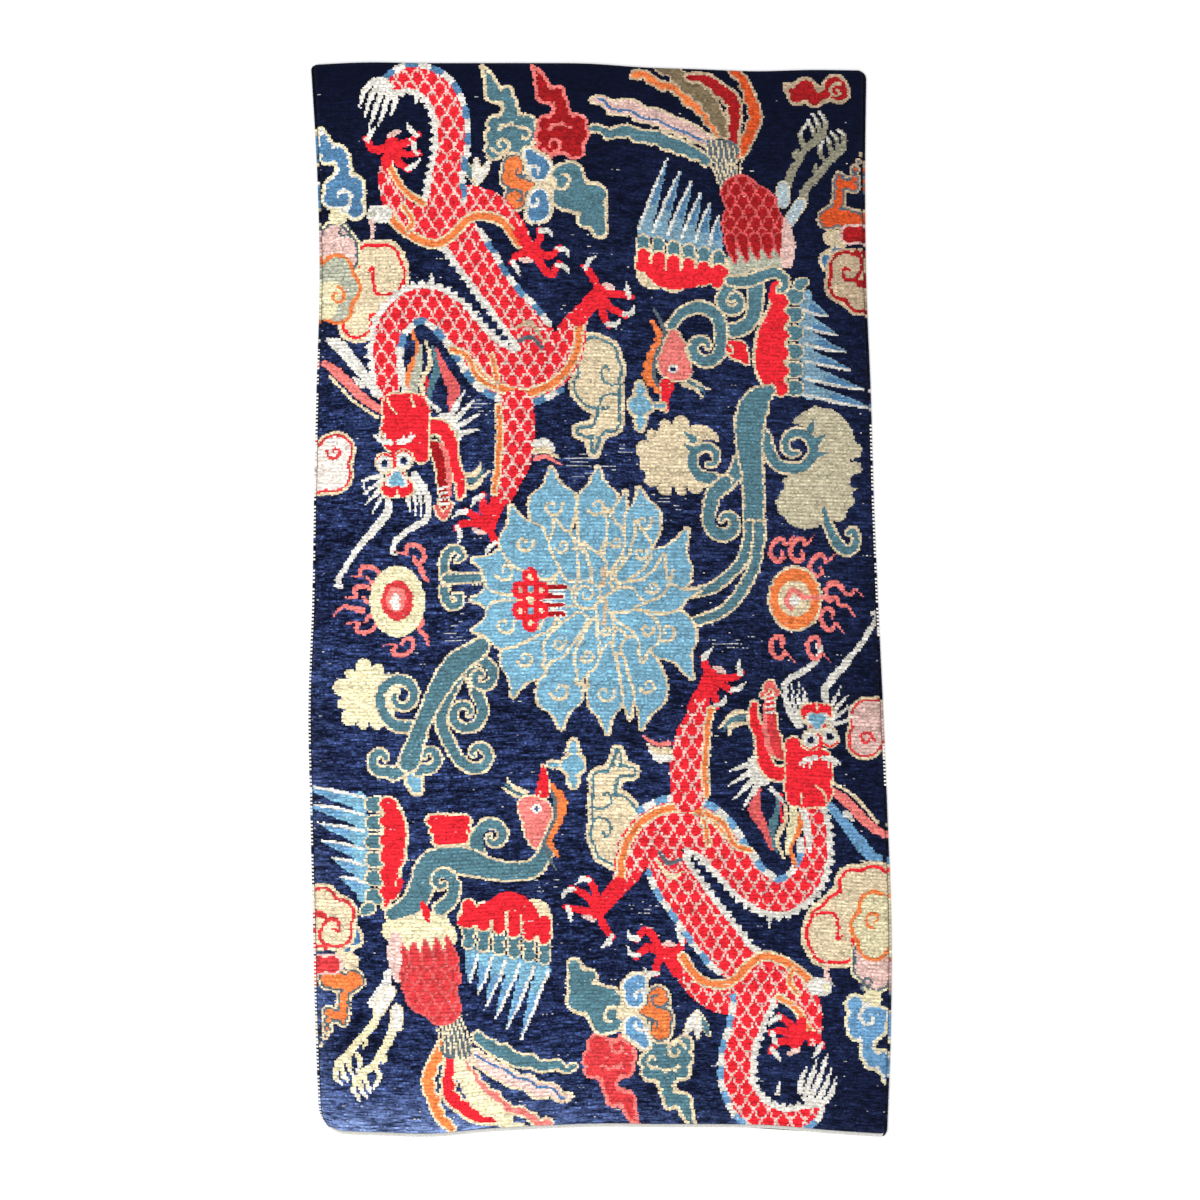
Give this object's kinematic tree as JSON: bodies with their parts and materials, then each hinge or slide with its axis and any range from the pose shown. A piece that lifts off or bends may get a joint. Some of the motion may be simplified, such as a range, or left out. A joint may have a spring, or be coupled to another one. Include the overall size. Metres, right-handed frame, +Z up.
{
  "type": "tibetan rug",
  "caption": "Flat hand-knotted sleeping rug, long and slightly uneven, with a thick wool pile, overcast side cords and a narrow cotton web at its foot end.",
  "frame": {"origin": "on the floor under the middle of the rug's outline", "axes": "+X to the right across the rug, +Y along the rug towards the head end, +Z up out of the pile"},
  "size_m": [0.9324, 1.7172, 0.0125],
  "materials": {
    "pile_wool": "thick matt wool pile, indigo ground with a coloured design",
    "selvedge_wool": "matt overcast wool yarn"
  },
  "bodies": {
    "root": {"knotted_field": "pile_wool", "selvedge_left": "selvedge_wool", "selvedge_right": "selvedge_wool"}
  },
  "joints": []
}
